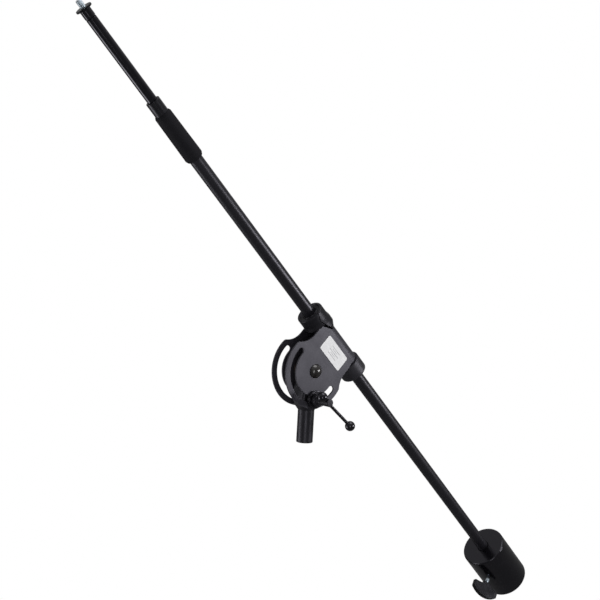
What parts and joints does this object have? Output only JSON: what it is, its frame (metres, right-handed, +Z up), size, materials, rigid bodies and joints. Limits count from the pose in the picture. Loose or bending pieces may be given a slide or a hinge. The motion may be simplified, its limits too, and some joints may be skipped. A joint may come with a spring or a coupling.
{
  "type": "swivel boom arm",
  "caption": "Telescoping boom on a slotted swivel clamp with a spigot, locking bar and a sliding tail weight.",
  "frame": {"origin": "centre of the flat end of the spigot, which stands in a stand's socket", "axes": "+Z up along the spigot, +Y away from the locking bar along the pivot bolt, +X to the right with the locking bar facing the viewer; the boom lies in the XZ plane with its tip up to the left"},
  "size_m": [1.0561, 0.1085, 1.0255],
  "materials": {
    "satin_black_paint": "satin black powder coat",
    "gloss_black_steel": "gloss black finish",
    "zinc_plated_steel": "zinc plated",
    "bright_screw_zinc": "bright zinc plated",
    "tube_black_paint": "satin black enamel",
    "gloss_black_tube": "gloss black enamel",
    "black_rubber": "matt moulded",
    "black_moulded_plastic": "satin moulded",
    "white_nylon": "as moulded",
    "brown_fibre": "pressed fibre",
    "bronze": "turned",
    "white_label": "blank printed film",
    "black_painted_iron": "black enamel on turned cast iron"
  },
  "bodies": {
    "stem": {"spigot_and_lug": "satin_black_paint", "pivot_bolt": "gloss_black_steel", "pivot_washer": "zinc_plated_steel", "pivot_lock_nut": "zinc_plated_steel", "friction_disc_front": "brown_fibre", "friction_disc_rear": "brown_fibre", "pivot_bush": "bronze", "lock_screw": "zinc_plated_steel", "lock_washer_rear": "zinc_plated_steel", "lock_washer_front": "gloss_black_steel"},
    "clamp": {"saddle": "satin_black_paint", "label_plate": "white_label", "liner_tube": "black_moulded_plastic", "head_collar": "black_moulded_plastic", "tail_collar": "black_moulded_plastic"},
    "guide": {"guide_bush": "white_nylon"},
    "boom": {"outer_tube": "tube_black_paint", "tube_end_cap": "black_moulded_plastic", "clutch_body": "gloss_black_steel", "clutch_collet": "white_nylon"},
    "clutch": {"clutch_nose": "gloss_black_steel", "clutch_grip": "black_rubber"},
    "inner": {"inner_tube": "gloss_black_tube", "inner_glide": "white_nylon", "tip_ferrule": "gloss_black_tube", "tip_flange": "gloss_black_steel", "tip_stud": "bright_screw_zinc"},
    "lever": {"lever_hub": "gloss_black_steel"},
    "bar": {"lever_bar": "gloss_black_steel", "lever_ball_near": "gloss_black_steel", "lever_ball_far": "gloss_black_steel"},
    "weight": {"counterweight": "black_painted_iron"},
    "wing": {"weight_pad": "bronze", "weight_screw": "bright_screw_zinc", "weight_wing_knob": "black_moulded_plastic"}
  },
  "joints": [
    {"name": "tilt", "type": "hinge", "parent": "stem", "child": "clamp", "pos_m": [0, 0, 0.1256], "axis": [0, -1, 0], "range_deg": [-40.5, 129]},
    {"name": "boom_turn", "type": "hinge", "parent": "clamp", "child": "guide", "pos_m": [0.04732, 0, 0.17443], "axis": [0.7181, 0, -0.6959], "continuous": true},
    {"name": "boom_slide", "type": "slide", "parent": "guide", "child": "boom", "axis": [0.7181, 0, -0.6959], "range_m": [-0.528, 0.341]},
    {"name": "clutch_turn", "type": "hinge", "parent": "boom", "child": "clutch", "pos_m": [-0.2902, 0, 0.50151], "axis": [0.7181, 0, -0.6959], "range_deg": [0, 180]},
    {"name": "inner_slide", "type": "slide", "parent": "boom", "child": "inner", "axis": [0.7181, 0, -0.6959], "range_m": [-0.6, 0.16]},
    {"name": "lever_turn", "type": "hinge", "parent": "stem", "child": "lever", "pos_m": [0, -0.0336, 0.0769], "axis": [0, -1, 0], "range_deg": [-20, 340]},
    {"name": "bar_slide", "type": "slide", "parent": "lever", "child": "bar", "axis": [0.7771, 0, -0.6293], "range_m": [-0.0522, 0]},
    {"name": "weight_slide", "type": "slide", "parent": "boom", "child": "weight", "axis": [-0.7181, 0, 0.6959], "range_m": [-0.0105, 0.528]},
    {"name": "wing_turn", "type": "hinge", "parent": "weight", "child": "wing", "pos_m": [0.52236, 0, -0.28591], "axis": [-0.6673, -0.284, -0.6886], "range_deg": [-15, 345]}
  ]
}
